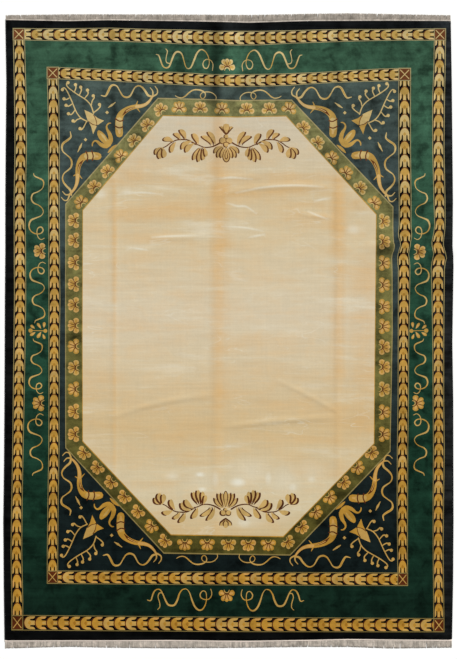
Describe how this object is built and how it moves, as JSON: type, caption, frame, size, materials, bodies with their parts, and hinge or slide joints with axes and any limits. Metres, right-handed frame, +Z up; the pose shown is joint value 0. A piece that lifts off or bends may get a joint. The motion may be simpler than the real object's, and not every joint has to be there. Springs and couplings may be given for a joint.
{
  "type": "indian transitional rug",
  "caption": "Hand-knotted rectangular pile rug lying flat, octagonal open field, laurel and ribbon borders, overcast sides and fringed ends.",
  "frame": {"origin": "on the floor under the middle of the whole rug with its fringes", "axes": "+Z up from the floor, +Y along the rug towards its head end, +X across it to the right as seen from above with the head end up"},
  "size_m": [3.0694, 4.34, 0.0309],
  "materials": {
    "pile": "cut wool and silk pile in black, green, navy, olive, cream and gold, with a soft nap sheen",
    "side_cord": "black wool overcast tightly round the outer warps",
    "fringe": "undyed cotton warp, loosely twisted locks from a flat woven end strip"
  },
  "bodies": {
    "root": {"rug_body": "pile", "selvedge_left": "side_cord", "selvedge_right": "side_cord", "fringe_head": "fringe", "fringe_foot": "fringe"}
  },
  "joints": []
}
